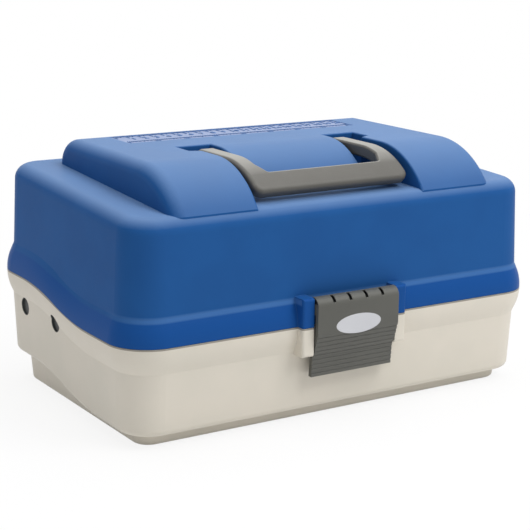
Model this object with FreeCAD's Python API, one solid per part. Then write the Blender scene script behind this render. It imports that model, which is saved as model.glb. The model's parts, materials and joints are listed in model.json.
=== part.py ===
"""A portable two-tray tackle box: a base tub, a lid with a folding handle and a snap latch,
and two trays that rise on parallel arms as the lid opens. Millimetres, +Z up, -Y is the front."""
import FreeCAD, Part
import math
import os

V = FreeCAD.Vector

# Body
body_width = 360.0
body_depth = 226.0
wall = 2.6
corner_radius = 31.0
overrun = 40.0

# Rim: the parting line is low at the front and climbs to the back along two arcs on each side
rim_front_height = 74.5
rim_rise = 15.0
rim_climb_start_share = -0.22
rim_climb_end_share = 0.27
rim_gap = 0.3
rim_land = 8.0
flare_height = 25.0
flare_out = 7.5
flare_bend_radius = 34.0

# Base
base_inset_at_rim = 4.2
base_inset_at_step = 7.2
step_height = 9.3
step_radius = 5.0
plinth_inset_top = 15.5
plinth_inset_bottom = 18.2
plinth_overlap = 6.0
plinth_radius = 3.0

# Lid
lid_inset_at_rim = 4.2
lid_inset_at_top = 7.6
ledge_front_height = 160.0
ledge_rise = 12.0
ledge_radius = 11.0

# Hump: the raised middle of the lid
hump_height = 30.0
hump_seat_depth = 10.0
hump_foot_inset = 12.0
hump_foot_step = 0.4
hump_curve_length = 55.0
hump_front_side_inset = 40.0
hump_back_side_inset = 42.0
hump_back_inset = 28.0
hump_back_radius = 20.0
hump_draft = 1.0
hump_radius = 10.0

# Ruler: a shallow panel sunk in the hump's flat top
ruler_half_length = 103.5
ruler_width = 34.0
ruler_behind_curve = 77.5
ruler_depth = 0.6

# Handle recess in the hump
notch_behind_curve = 47.0
notch_length = 20.0
notch_step_out = 8.3
notch_jog = 3.6
channel_width = 21.0
block_half_width = 51.0
block_curve_start = 9.6
block_curve_radius = 60.0
recess_edge_radius = 1.5

# Carry handle
handle_inner_clearance = 2.4
handle_outer_clearance = 4.6
handle_thickness = 9.6
handle_sink = 1.5
handle_tip_gap = 2.85
grip_depth = 17.0
grip_gusset = 9.0
handle_corner_radius = 7.0
handle_outer_edge_radius = 3.5
handle_inner_edge_radius = 2.0
handle_pin_radius = 2.8
handle_pivot_back = 10.6

# Hinges
hinge_side_inset = 70.0
hinge_clearance = 1.1
knuckle_radius = 5.2
lid_knuckle_width = 16.0
base_knuckle_width = 10.0
knuckle_gap = 0.4
hinge_rod_radius = 1.6
hinge_embed = 6.0
gusset_drop = 10.0

# Latch
latch_half_width = 35.5
latch_reach = 4.2
latch_axis_rise = 15.2
latch_roll_radius = 6.5
latch_thickness = 3.5
latch_length = 53.0
latch_flat_share = 0.38
latch_slope_share = 0.64
latch_jog_share = 0.715
latch_slope_depth = 4.0
latch_jog_depth = 2.4
latch_lip_depth = 1.1
latch_rod_radius = 1.2
latch_rod_embed = 6.0
latch_slot_width = 2.5
latch_slot_depth = 2.6
latch_slot_rise = 2.2
latch_slot_count = 4
latch_groove_count = 9
latch_groove_start_share = 0.43
latch_groove_end_share = 0.95
latch_groove_width = 1.1
latch_groove_depth = 0.45
badge_half_width = 19.6
badge_half_height = 7.2
badge_thickness = 0.8
badge_drop = 15.7
cheek_width = 9.5
cheek_before_rod = 2.4
cheek_gap = 0.6
cheek_radius = 2.0
cheek_above_rod = 6.3
cheek_drop = 21.5
keeper_half_width = 20.0
keeper_height = 3.5
keeper_gap = 0.4

# Trays
tray_front_inset = 15.0
lower_tray_back_inset = 27.0
upper_tray_back_inset = 47.0
upper_tray_headroom = 10.4
upper_tray_height = 32.0
tray_gap = 3.0
lower_tray_height = 30.0
tray_wall = 1.8
tray_floor = 1.8
tray_rib = 3.0
tray_corner_radius = 8.0
groove_depth = 0.8
divider_thickness = 1.6
divider_clearance = 0.2
divider_drop = 2.0
lower_row_shares = (0.42, 0.58)
upper_row_shares = (0.30, 0.34, 0.36)
lower_divider_shares = ((), (-0.5, 0.0, 0.5))
upper_divider_shares = ((-0.34, 0.34), (-0.34, 0.34), ())

# Arms and their pivots; the ratio is the arms' turn for each degree of the lid
lid_open_degrees = 105.0
arm_ratio = 0.75
arm_thickness = 3.0
arm_half_width = 7.0
arm_side_clearance = 0.9
rear_pivot_share = 0.292
pivot_spacing_share = 0.239
pivot_below_rim = 9.5
pivot_bore_radius = 6.5
pivot_collar_step = 2.1
pivot_end_recess = 1.6
lower_setback_share = 0.233
upper_setback_share = 0.401
lower_stud_height = 7.5
upper_stud_height = 15.8
stud_radius = 3.4
open_pivot_clearance = 0.35

# Guides on the lid and pins on the upper tray that they steer
guide_thickness = 2.6
guide_pad = 2.6
guide_border = 5.0
guide_pin_radius = 2.2
guide_clearance = 0.35
guide_pin_inset = 12.0
guide_pin_below_top = 9.0
guide_pin_grip = 5.0
guide_points = 31
guide_screw_radius = 1.4
guide_screw_head_radius = 2.7
guide_screw_head_height = 1.3
guide_screw_length = 4.6

# Fits
running_clearance = 0.06
seated_clearance = 0.02

# Places worked out from the sizes above
half_width = body_width / 2
half_depth = body_depth / 2
top_height = ledge_front_height + hump_height
rim_back_height = rim_front_height + rim_rise
rim_climb_start = rim_climb_start_share * body_depth
rim_climb_end = rim_climb_end_share * body_depth
step_drop = rim_front_height - step_height
hinge_reach = knuckle_radius + hinge_clearance
hinge_offset = half_width - hinge_side_inset
hinge_y = half_depth + hinge_reach
hinge_z = rim_back_height
latch_y = -half_depth - latch_reach
latch_z = rim_front_height + latch_axis_rise
latch_face_y = latch_y - latch_roll_radius
cheek_reach = latch_reach + cheek_before_rod
cheek_rise = latch_axis_rise + cheek_above_rod
hump_foot_y = -half_depth + hump_foot_inset
hump_curve_drop = hump_height - hump_foot_step
hump_arc_radius = (hump_curve_length ** 2 + hump_curve_drop ** 2) / (2 * hump_curve_drop)
hump_arc_y = hump_foot_y + hump_curve_length
hump_arc_z = top_height - hump_arc_radius
hump_back_y = half_depth - hump_back_inset
hump_seat_height = ledge_front_height - hump_seat_depth
hump_front_half_width = half_width - hump_front_side_inset
hump_back_half_width = half_width - hump_back_side_inset
notch_back_y = hump_arc_y + notch_behind_curve
channel_half_width = block_half_width + channel_width
notch_half_width = channel_half_width + notch_step_out
block_arc_y = notch_back_y - block_curve_start
lid_inner_half = half_width - lid_inset_at_top - wall
guide_outer_x = lid_inner_half - guide_pad
guide_inner_x = guide_outer_x - guide_thickness
arm_outer_x = guide_inner_x - arm_side_clearance
arm_inner_x = arm_outer_x - arm_thickness
tray_half_width = arm_inner_x - arm_side_clearance
tray_front_y = -half_depth + tray_front_inset
lower_tray_depth = half_depth - lower_tray_back_inset - tray_front_y
upper_tray_depth = half_depth - upper_tray_back_inset - tray_front_y
upper_tray_top = ledge_front_height - wall - upper_tray_headroom
upper_tray_bottom = upper_tray_top - upper_tray_height
lower_tray_top = upper_tray_bottom - tray_gap
lower_tray_bottom = lower_tray_top - lower_tray_height
rear_pivot_y = rear_pivot_share * body_depth
pivot_spacing = pivot_spacing_share * body_depth
pivot_z = rim_front_height - pivot_below_rim
pivot_collar_radius = pivot_bore_radius + pivot_collar_step
lower_stud_y = rear_pivot_y - lower_setback_share * body_depth
lower_stud_z = lower_tray_bottom + lower_stud_height
upper_stud_y = rear_pivot_y - upper_setback_share * body_depth
upper_stud_z = upper_tray_bottom + upper_stud_height
guide_pin_y = tray_front_y + upper_tray_depth - guide_pin_inset
guide_pin_z = upper_tray_top - guide_pin_below_top
handle_pivot_y = notch_back_y - handle_pivot_back
handle_outer_radius = hump_arc_radius - handle_sink
handle_inner_radius = handle_outer_radius - handle_thickness
handle_tip_height = ledge_front_height + handle_tip_gap
handle_sweep = math.acos((handle_tip_height - hump_arc_z) / handle_inner_radius)
handle_tip_y = hump_arc_y - handle_outer_radius * math.sin(handle_sweep)
handle_inner_half = block_half_width + handle_inner_clearance
handle_outer_half = channel_half_width - handle_outer_clearance
handle_pivot_z = top_height - handle_sink - handle_thickness / 2
sides = (("left", -1), ("right", 1))


def line(start, end):
    return Part.LineSegment(start, end).toShape()


def arc(start, middle, end):
    return Part.Arc(start, middle, end).toShape()


def plate(edges, direction):
    """The closed outline of the edges, extruded."""
    return Part.Face(Part.Wire(Part.__sortEdges__(edges))).extrude(direction)


def polygon_plate(points, direction):
    return plate([line(points[i - 1], points[i]) for i in range(len(points))], direction)


def side_plate(points, x_low, x_high):
    """A plate across X whose outline is given by (y, z) points."""
    return polygon_plate([V(x_low, y, z) for y, z in points], V(x_high - x_low, 0, 0))


def rod(radius, x_low, x_high, y, z):
    """A round bar along X."""
    return Part.makeCylinder(radius, x_high - x_low, V(x_low, y, z), V(1, 0, 0))


def box(x_low, x_high, y_low, y_high, z_low, z_high):
    return Part.makeBox(x_high - x_low, y_high - y_low, z_high - z_low, V(x_low, y_low, z_low))


def mirrored(shape):
    return shape.mirror(V(0, 0, 0), V(1, 0, 0))


def on_side(shape, sign):
    """The right-hand shape, or its mirror image on the left."""
    return shape if sign > 0 else mirrored(shape)


def both_sides(shape):
    return [shape, mirrored(shape)]


def middle_of(edge):
    return edge.valueAt((edge.FirstParameter + edge.LastParameter) / 2)


def rounded_outline(x_half, y_half, radius, z):
    """A rectangle with round corners, centred on the origin, at one height."""
    edges = []
    corners = ((1, -1), (1, 1), (-1, 1), (-1, -1))
    ends = []
    for index, (sx, sy) in enumerate(corners):
        centre = V(sx * (x_half - radius), sy * (y_half - radius), z)
        first = math.radians(90 * index - 90)
        points = [centre + V(radius * math.cos(a), radius * math.sin(a), 0)
                  for a in (first, first + math.pi / 4, first + math.pi / 2)]
        edges.append(arc(*points))
        ends.append((points[0], points[2]))
    for index in range(len(corners)):
        edges.append(line(ends[index - 1][1], ends[index][0]))
    return Part.Wire(Part.__sortEdges__(edges))


def body_block(z_low, inset_low, z_high, inset_high):
    """The body's plan outline, inset by each amount, lofted between two heights."""
    outlines = [rounded_outline(half_width - inset, half_depth - inset, corner_radius - inset, z)
                for z, inset in ((z_low, inset_low), (z_high, inset_high))]
    return Part.makeLoft(outlines, True, True)


def rim_path(offset):
    """The rim's side curve, moved up by the offset, and its two ends."""
    reach = half_depth + overrun
    run = rim_climb_end - rim_climb_start
    radius = (run ** 2 + rim_rise ** 2) / (4 * rim_rise)
    half_turn = math.asin(run / 2 / radius) / 2
    along, up = radius * math.sin(half_turn), radius * (1 - math.cos(half_turn))
    low, high = rim_front_height + offset, rim_back_height + offset
    front, start = V(0, -reach, low), V(0, rim_climb_start, low)
    middle = V(0, (rim_climb_start + rim_climb_end) / 2, (low + high) / 2)
    end, back = V(0, rim_climb_end, high), V(0, reach, high)
    lower_bend = V(0, rim_climb_start + along, low + up)
    upper_bend = V(0, rim_climb_end - along, high - up)
    edges = [line(front, start), arc(start, lower_bend, middle), arc(middle, upper_bend, end),
             line(end, back)]
    return edges, front, back


def rim_height(y):
    """The rim's height at a distance from front to back."""
    run = rim_climb_end - rim_climb_start
    radius = (run ** 2 + rim_rise ** 2) / (4 * rim_rise)
    if y <= rim_climb_start:
        return rim_front_height
    if y >= rim_climb_end:
        return rim_back_height
    if y < (rim_climb_start + rim_climb_end) / 2:
        return rim_front_height + radius - math.sqrt(radius ** 2 - (y - rim_climb_start) ** 2)
    return rim_back_height - radius + math.sqrt(radius ** 2 - (rim_climb_end - y) ** 2)


def rim_layer(low, high):
    """All the space between the rim curve moved by one offset and by another."""
    lower, lower_front, lower_back = rim_path(low)
    upper, upper_front, upper_back = rim_path(high)
    edges = lower + [line(lower_back, upper_back)] + upper + [line(upper_front, lower_front)]
    reach = half_width + overrun
    layer = plate(edges, V(2 * reach, 0, 0))
    layer.translate(V(-reach, 0, 0))
    return layer


def outer_rim_edges(shape, offset):
    """The edges round the body at the rim curve moved by the offset.

    They meet smoothly all the way round, so a fillet or chamfer of the first one takes them all.
    """
    near = wall / 100
    found = []
    for edge in shape.Edges:
        place = middle_of(edge)
        at_height = abs(place.z - rim_height(place.y) - offset) < near
        inside = abs(place.x) < half_width / 2 and abs(place.y) < half_depth - corner_radius
        if at_height and not inside:
            found.append(edge)
    return found


def flare(inset, direction):
    """The band that leans out to the rim, below it (direction -1) or above it (1), and runs past it."""
    far, past = direction * flare_height, -direction * overrun
    layer = rim_layer(min(far, past), max(far, past))
    heights = (rim_front_height - 2 * overrun, top_height)
    band = body_block(heights[0], inset, heights[1], inset).common(layer)
    band = band.makeChamfer(flare_height - rim_land, flare_out, outer_rim_edges(band, far)[:1])
    bend = outer_rim_edges(band, direction * rim_land)
    return band.makeFillet(flare_bend_radius - inset, bend[:1])


def base_form(inset):
    """The base's outer surface, or its cavity when the inset is the wall. Both run past the rim."""
    low, high = step_height - overrun, rim_back_height + overrun
    draft = (base_inset_at_step - base_inset_at_rim) / step_drop
    at_low = base_inset_at_step + draft * (step_height - low) + inset
    at_high = base_inset_at_rim - draft * (high - rim_front_height) + inset
    walls = body_block(low, at_low, high, at_high).common(rim_layer(inset - step_drop, overrun))
    walls = walls.makeFillet(step_radius - inset, outer_rim_edges(walls, inset - step_drop)[:1])
    plinth_top = step_height + rim_rise + plinth_overlap
    plinth = body_block(inset, plinth_inset_bottom + inset, plinth_top, plinth_inset_top + inset)
    if inset == 0:
        foot_edges = [e for e in plinth.Edges if e.BoundBox.ZMax < plinth_radius]
        plinth = plinth.makeFillet(plinth_radius, foot_edges)
    return walls.fuse([flare(inset, -1), plinth])


def lid_wall_form(inset):
    """The lid's side walls and the sloping ledge, with its round edge."""
    low, high = rim_front_height, ledge_front_height + overrun
    draft = (lid_inset_at_top - lid_inset_at_rim) / (ledge_front_height - rim_front_height)
    at_high = lid_inset_at_top + draft * overrun + inset
    walls = body_block(low, lid_inset_at_rim + inset, high, at_high)
    reach = half_depth + overrun
    slope = ledge_rise / body_depth
    front = ledge_front_height - slope * overrun - inset
    back = ledge_front_height + ledge_rise + slope * overrun - inset
    below = side_plate([(-reach, 0), (reach, 0), (reach, back), (-reach, front)],
                       -half_width - overrun, half_width + overrun)
    walls = walls.common(below)
    top_edges = [e for e in walls.Edges if middle_of(e).z > ledge_front_height - wall - inset]
    return walls.makeFillet(ledge_radius - inset, top_edges)


def hump_form(inset):
    """The hump: a curved front, a flat top and a rounded back, between sides that draw together."""
    radius, top = hump_arc_radius - inset, top_height - inset
    foot_y = hump_foot_y + inset
    foot_z = hump_arc_z + math.sqrt(radius ** 2 - (foot_y - hump_arc_y) ** 2)
    bend = (math.atan2(foot_z - hump_arc_z, foot_y - hump_arc_y) + math.pi / 2) / 2
    low, back_y = hump_seat_height, hump_back_y - inset
    foot, crown = V(0, foot_y, foot_z), V(0, hump_arc_y, top)
    bend_point = V(0, hump_arc_y + radius * math.cos(bend), hump_arc_z + radius * math.sin(bend))
    back_radius, back_arc_y = hump_back_radius - inset, hump_back_y - hump_back_radius
    back_arc_z = top_height - hump_back_radius
    top_back, upright_top = V(0, back_arc_y, top), V(0, back_y, back_arc_z)
    along = back_radius * math.sqrt(0.5)
    back_point = V(0, back_arc_y + along, back_arc_z + along)
    low_back, low_front = V(0, back_y, low), V(0, foot_y, low)
    edges = [arc(foot, bend_point, crown), line(crown, top_back), arc(top_back, back_point, upright_top),
             line(upright_top, low_back), line(low_back, low_front), line(low_front, foot)]
    profile = plate(edges, V(body_width, 0, 0))
    profile.translate(V(-half_width, 0, 0))
    taper = (hump_front_half_width - hump_back_half_width) / (hump_back_y - hump_foot_y)
    outlines = []
    for z, draft in ((low, 0), (top_height, hump_draft)):
        front_half = hump_front_half_width + taper * overrun - draft - inset
        back_half = hump_back_half_width - taper * overrun - draft - inset
        front, back = hump_foot_y - overrun, hump_back_y + overrun
        points = [V(-front_half, front, z), V(front_half, front, z),
                  V(back_half, back, z), V(-back_half, back, z)]
        outlines.append(Part.makePolygon(points + points[:1]))
    hump = profile.common(Part.makeLoft(outlines, True, True))
    round_edges = []
    for edge in hump.Edges:
        place = middle_of(edge)
        on_floor = edge.BoundBox.ZMax < low + wall
        if not on_floor and abs(place.x) > wall:
            round_edges.append(edge)
    return hump.makeFillet(hump_radius - inset, round_edges)


def recess_form(inset):
    """The space cut from the hump for the handle; an inset makes it larger by a wall."""
    top, low = top_height + overrun, hump_seat_height - overrun
    front = -half_depth - overrun
    inner = block_half_width - inset
    wide, narrow = notch_half_width + inset, channel_half_width + inset
    back = notch_back_y + inset
    lean = notch_jog / notch_step_out
    step_back = notch_back_y - notch_length - inset * (math.hypot(1, lean) - lean)
    step_front = step_back - notch_jog
    points = [(inner, back), (wide, back), (wide, step_back),
              (narrow, step_front), (narrow, front), (inner, front)]
    channel = polygon_plate([V(x, y, low) for x, y in points], V(0, 0, top - low))
    radius = block_curve_radius - inset
    centre_z = top_height - block_curve_radius
    turn = math.acos((ledge_front_height - centre_z) / block_curve_radius)
    crown = V(-inner, block_arc_y, centre_z + radius)
    bend = V(-inner, block_arc_y - radius * math.sin(turn / 2), centre_z + radius * math.cos(turn / 2))
    foot = V(-inner, block_arc_y - radius * math.sin(turn), centre_z + radius * math.cos(turn))
    below, front_low = V(-inner, foot.y, low), V(-inner, front, low)
    front_high, over = V(-inner, front, top), V(-inner, block_arc_y, top)
    edges = [arc(crown, bend, foot), line(foot, below), line(below, front_low), line(front_low, front_high),
             line(front_high, over), line(over, crown)]
    middle = plate(edges, V(2 * inner, 0, 0))
    return middle.fuse(both_sides(channel))


def recess_edges(hump):
    """The edges where the recess meets the hump's top and front."""
    found = []
    for edge in hump.Edges:
        place, bounds = middle_of(edge), edge.BoundBox
        in_recess = abs(place.x) < notch_half_width + wall and place.y < notch_back_y + wall
        upright = bounds.XLength < rim_gap and bounds.YLength < rim_gap
        if in_recess and not upright and place.z > ledge_front_height + wall:
            found.append(edge)
    return found


def cheek(z_low, z_high, y_in):
    """A block beside the latch, on the right, with a round outer front edge."""
    inner = latch_half_width + cheek_gap
    block = box(inner, inner + cheek_width, -half_depth - cheek_reach, y_in, z_low, z_high)
    rounded = []
    for edge in block.Edges:
        bounds = edge.BoundBox
        at_front = bounds.YMax < -half_depth - cheek_reach + wall
        outer_side = at_front and bounds.XMin > inner + cheek_width - wall
        away_from_rim = bounds.ZLength < wall and abs(bounds.ZMin - rim_front_height) > cheek_radius
        if outer_side or at_front and away_from_rim:
            rounded.append(edge)
    return block.makeFillet(cheek_radius, rounded)


def knuckle(x_low, x_high, direction):
    """A hinge knuckle with the block that joins it to the rim, below (-1) or above (1) it."""
    barrel = rod(knuckle_radius, x_low, x_high, hinge_y, hinge_z)
    inner_y = half_depth - hinge_embed
    near_z, far_z = hinge_z + (rim_gap if direction > 0 else 0), hinge_z + direction * knuckle_radius
    block = [(inner_y, near_z), (hinge_y, near_z), (hinge_y, far_z), (inner_y, far_z)]
    web = [(inner_y, far_z), (hinge_y, far_z), (inner_y, far_z + direction * gusset_drop)]
    return barrel.fuse([side_plate(block, x_low, x_high), side_plate(web, x_low, x_high)])


def base_knuckle_spans():
    """The x ranges of the base's two knuckles at the right-hand hinge."""
    near = lid_knuckle_width / 2 + knuckle_gap
    far = near + base_knuckle_width
    return (hinge_offset - far, hinge_offset - near), (hinge_offset + near, hinge_offset + far)


def make_base_tub():
    tub = base_form(0).cut([base_form(wall), rim_layer(0, 2 * overrun)])
    inner_y = -half_depth + base_inset_at_step
    added = both_sides(cheek(rim_front_height - cheek_drop, rim_front_height, inner_y))
    for low, high in base_knuckle_spans():
        added += both_sides(knuckle(low, high, -1))
    keeper_low = latch_z - latch_slope_share * latch_length
    keeper_tip = latch_face_y + latch_thickness + latch_slope_depth + latch_jog_depth + keeper_gap
    added.append(box(-keeper_half_width, keeper_half_width, keeper_tip, inner_y,
                     keeper_low, keeper_low + keeper_height))
    tub = tub.fuse(added)
    for y in (rear_pivot_y, rear_pivot_y - pivot_spacing):
        tub = tub.cut(rod(pivot_bore_radius, -half_width - overrun, half_width + overrun, y, pivot_z))
    span = base_knuckle_spans()
    bore = rod(hinge_rod_radius + seated_clearance, span[0][0] - wall, span[1][1] + wall, hinge_y, hinge_z)
    return tub.cut(both_sides(bore)).removeSplitter()


def guide_path():
    """The guide pin's path past the lid, in the closed lid's place."""
    points = []
    for index in range(guide_points):
        share = index / (guide_points - 1)
        turn = math.radians(lid_open_degrees * share)
        arm_turn = turn * arm_ratio
        reach_y, reach_z = upper_stud_y - rear_pivot_y, upper_stud_z - pivot_z
        moved_y = reach_y * math.cos(arm_turn) + reach_z * math.sin(arm_turn) - reach_y
        moved_z = reach_z * math.cos(arm_turn) - reach_y * math.sin(arm_turn) - reach_z
        y, z = guide_pin_y + moved_y - hinge_y, guide_pin_z + moved_z - hinge_z
        points.append((hinge_y + y * math.cos(turn) - z * math.sin(turn),
                       hinge_z + y * math.sin(turn) + z * math.cos(turn)))
    return points


def guide_slot(x_low, x_high):
    """The slot along the guide pin's path, with round ends."""
    path = Part.makePolygon([V(x_low, y, z) for y, z in guide_path()])
    slot = path.makeOffset2D(guide_pin_radius + guide_clearance, join=0, fill=True, intersection=True)
    return slot.extrude(V(x_high - x_low, 0, 0))


def guide_bounds():
    """The guide plate's low and high Y, then its low and high Z."""
    border = guide_pin_radius + guide_clearance + guide_border
    ys, zs = zip(*guide_path())
    return min(ys) - border, max(ys) + border, min(zs) - border, max(zs) + border


def guide_screw_places():
    """Two screws in the upper corners, and one under the middle of the slot's arch."""
    y_low, y_high, z_low, z_high = guide_bounds()
    return ((y_low + guide_border, z_high - guide_border), (y_high - guide_border, z_high - guide_border),
            ((y_low + y_high) / 2, z_low + guide_border))


def make_guide():
    y_low, y_high, z_low, z_high = guide_bounds()
    guide = box(guide_inner_x, guide_outer_x, y_low, y_high, z_low, z_high)
    corners = [e for e in guide.Edges if e.BoundBox.XLength > guide_thickness / 2]
    guide = guide.makeFillet(guide_border, corners)
    cuts = [guide_slot(guide_inner_x - wall, guide_outer_x + wall)]
    cuts += [screw_shape(y, z, seated_clearance) for y, z in guide_screw_places()]
    return guide.cut(cuts).removeSplitter()


def screw_shape(y, z, clearance):
    """A countersunk screw that points outwards, made larger by a clearance."""
    radius = guide_screw_radius + clearance
    head = Part.makeCone(guide_screw_head_radius + clearance, radius, guide_screw_head_height,
                         V(guide_inner_x, y, z), V(1, 0, 0))
    tip = guide_inner_x + guide_screw_length + clearance
    return head.fuse(rod(radius, guide_inner_x, tip, y, z))


def make_guide_screws():
    screws = [screw_shape(y, z, 0) for y, z in guide_screw_places()]
    return Part.makeCompound(screws + [mirrored(screw) for screw in screws])


def make_lid_shell():
    hump = hump_form(0).cut(recess_form(0))
    hump = hump.makeFillet(recess_edge_radius, recess_edges(hump))
    outside = lid_wall_form(0).fuse([hump, flare(0, 1)])
    hollow_hump = hump_form(wall).cut(recess_form(wall))
    inside = lid_wall_form(wall).fuse([hollow_hump, flare(wall, 1)])
    shell = outside.cut(inside)
    inner_y = -half_depth + lid_inset_at_top
    added = both_sides(cheek(rim_front_height + rim_gap, rim_front_height + cheek_rise, inner_y))
    half = lid_knuckle_width / 2
    added += both_sides(knuckle(hinge_offset - half, hinge_offset + half, 1))
    pads = [rod(guide_border, guide_outer_x, guide_outer_x + guide_pad + wall, y, z)
            for y, z in guide_screw_places()]
    shell = shell.fuse(added + pads + [mirrored(pad) for pad in pads])
    shell = shell.common(rim_layer(rim_gap, top_height).fuse(shell_keep_zone()))
    cuts = [rod(hinge_rod_radius + running_clearance, hinge_offset - half - wall, hinge_offset + half + wall,
                hinge_y, hinge_z)]
    rod_end = latch_half_width + cheek_gap + latch_rod_embed
    cuts.append(rod(latch_rod_radius + seated_clearance, 0, rod_end + seated_clearance, latch_y, latch_z))
    cuts.append(rod(handle_pin_radius + running_clearance, block_half_width - 2 * wall,
                    block_half_width + wall, handle_pivot_y, handle_pivot_z))
    cuts += [screw_shape(y, z, seated_clearance) for y, z in guide_screw_places()]
    ruler_front = hump_arc_y + ruler_behind_curve
    ruler = box(-ruler_half_length, ruler_half_length, ruler_front, ruler_front + ruler_width,
                top_height - ruler_depth, top_height + overrun)
    shell = shell.cut(cuts + [mirrored(cut) for cut in cuts] + [ruler])
    return shell.removeSplitter()


def shell_keep_zone():
    """The space behind the rim, where the lid's knuckles reach below the rim's height."""
    reach = knuckle_radius + hinge_reach
    return box(-half_width, half_width, half_depth + hinge_reach - knuckle_radius - knuckle_gap,
               half_depth + 2 * reach, hinge_z - 2 * reach, hinge_z + 2 * reach)


def make_hinge_rod():
    spans = base_knuckle_spans()
    return rod(hinge_rod_radius, spans[0][0], spans[1][1], hinge_y, hinge_z)


def make_latch_rod():
    end = latch_half_width + cheek_gap + latch_rod_embed
    return rod(latch_rod_radius, -end, end, latch_y, latch_z)


def badge_disc(clearance, thickness):
    """An oval disc on the latch's face."""
    oval = Part.Ellipse(V(0, 0, 0), badge_half_width + clearance, badge_half_height + clearance).toShape()
    disc = Part.Face(Part.Wire([oval])).extrude(V(0, 0, thickness))
    disc.rotate(V(0, 0, 0), V(1, 0, 0), 90)
    disc.translate(V(0, latch_face_y + thickness, latch_z - badge_drop))
    return disc


def latch_face_line():
    """The flap's face seen from the side, from the roll down to the tip, as (y, z) points."""
    points = [(latch_face_y, latch_z), (latch_face_y, latch_z - latch_flat_share * latch_length)]
    y = latch_face_y
    for share, depth in ((latch_slope_share, latch_slope_depth), (latch_jog_share, latch_jog_depth),
                         (1, latch_lip_depth)):
        y += depth
        points.append((y, latch_z - share * latch_length))
    return points


def latch_groove(drop):
    """A grip groove across the flap's face, a distance below the rod."""
    z = latch_z - drop
    points = latch_face_line()
    for (high_y, high_z), (low_y, low_z) in zip(points, points[1:]):
        if low_z <= z <= high_z:
            y = high_y + (low_y - high_y) * (high_z - z) / (high_z - low_z)
    return box(-half_width, half_width, latch_face_y - wall, y + latch_groove_depth,
               z - latch_groove_width / 2, z + latch_groove_width / 2)


def latch_grooves():
    """All the grip grooves, evenly spaced between their first and last place."""
    spacing = (latch_groove_end_share - latch_groove_start_share) / (latch_groove_count - 1)
    return [latch_groove((latch_groove_start_share + spacing * index) * latch_length)
            for index in range(latch_groove_count)]


def make_latch_flap():
    front = latch_face_line()
    behind = [(y + latch_thickness, z) for y, z in reversed(front)]
    roll = rod(latch_roll_radius, -latch_half_width, latch_half_width, latch_y, latch_z)
    flap = roll.fuse(side_plate(front + behind, -latch_half_width, latch_half_width))
    flap = flap.cut(rod(latch_rod_radius + running_clearance, -half_width, half_width, latch_y, latch_z))
    slot_reach = latch_roll_radius - latch_slot_depth
    keep = rod(slot_reach, -half_width, half_width, latch_y, latch_z)
    pitch = 2 * latch_half_width / (latch_slot_count + 1)
    for index in range(latch_slot_count):
        x = pitch * (index - (latch_slot_count - 1) / 2)
        low, high = x - latch_slot_width / 2, x + latch_slot_width / 2
        ring = rod(latch_roll_radius + wall, low, high, latch_y, latch_z)
        upper = box(low, high, latch_face_y - wall, latch_y, latch_z + latch_slot_rise, latch_z + overrun)
        flap = flap.cut(ring.cut(keep).common(upper))
    flap = flap.cut(latch_grooves() + [badge_disc(seated_clearance, badge_thickness)])
    return flap.removeSplitter()


def make_latch_badge():
    return badge_disc(0, badge_thickness)


def handle_band():
    """The handle's side view: a straight end at the pivot, then the hump's curve."""

    def along(radius, turn_share):
        turn = handle_sweep * turn_share
        return V(0, hump_arc_y - radius * math.sin(turn), hump_arc_z + radius * math.cos(turn))

    outer = [along(handle_outer_radius, share) for share in (0, 0.5, 1)]
    inner = [along(handle_inner_radius, share) for share in (1, 0.5, 0)]
    top_end, bottom_end = V(0, handle_pivot_y, outer[0].z), V(0, handle_pivot_y, inner[2].z)
    round_point = V(0, handle_pivot_y + handle_thickness / 2, handle_pivot_z)
    edges = [arc(top_end, round_point, bottom_end), line(top_end, outer[0]), arc(*outer),
             line(outer[2], inner[0]), arc(*inner), line(inner[2], bottom_end)]
    band = plate(edges, V(body_width, 0, 0))
    band.translate(V(-half_width, 0, 0))
    return band


def handle_edges(handle, outside):
    """The edges round the handle's outside, or those round its opening, without the seams across its arms."""
    arm_middle = (handle_inner_half + handle_outer_half) / 2
    found = []
    for edge in handle.Edges:
        place = middle_of(edge)
        seam = abs(abs(place.x) - arm_middle) < handle_inner_edge_radius
        on_outside = abs(place.x) > arm_middle or place.y < handle_tip_y + grip_depth / 2
        if on_outside == outside and not seam:
            found.append(edge)
    return found


def make_carry_handle():
    front, back = handle_tip_y - overrun, handle_pivot_y + handle_thickness
    grip_back = handle_tip_y + grip_depth
    outer, inner = handle_outer_half, handle_inner_half
    low, high = hump_seat_height - overrun, top_height + overrun
    outline = [(-outer, back), (-outer, front), (outer, front), (outer, back), (inner, back),
               (inner, grip_back + grip_gusset), (inner - grip_gusset / 2, grip_back),
               (grip_gusset / 2 - inner, grip_back), (-inner, grip_back + grip_gusset), (-inner, back)]
    plan = polygon_plate([V(x, y, low) for x, y in outline], V(0, 0, high - low))
    handle = handle_band().common(plan)
    corners = [e for e in handle_edges(handle, True)
               if e.BoundBox.XLength < rim_gap and middle_of(e).y < handle_tip_y + grip_depth / 2]
    handle = handle.makeFillet(handle_corner_radius, corners)
    handle = handle.makeFillet(handle_outer_edge_radius, handle_edges(handle, True))
    handle = handle.makeFillet(handle_inner_edge_radius, handle_edges(handle, False))
    pins = both_sides(rod(handle_pin_radius, block_half_width - 2 * wall, (inner + outer) / 2,
                          handle_pivot_y, handle_pivot_z))
    return handle.fuse(pins).removeSplitter()


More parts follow.
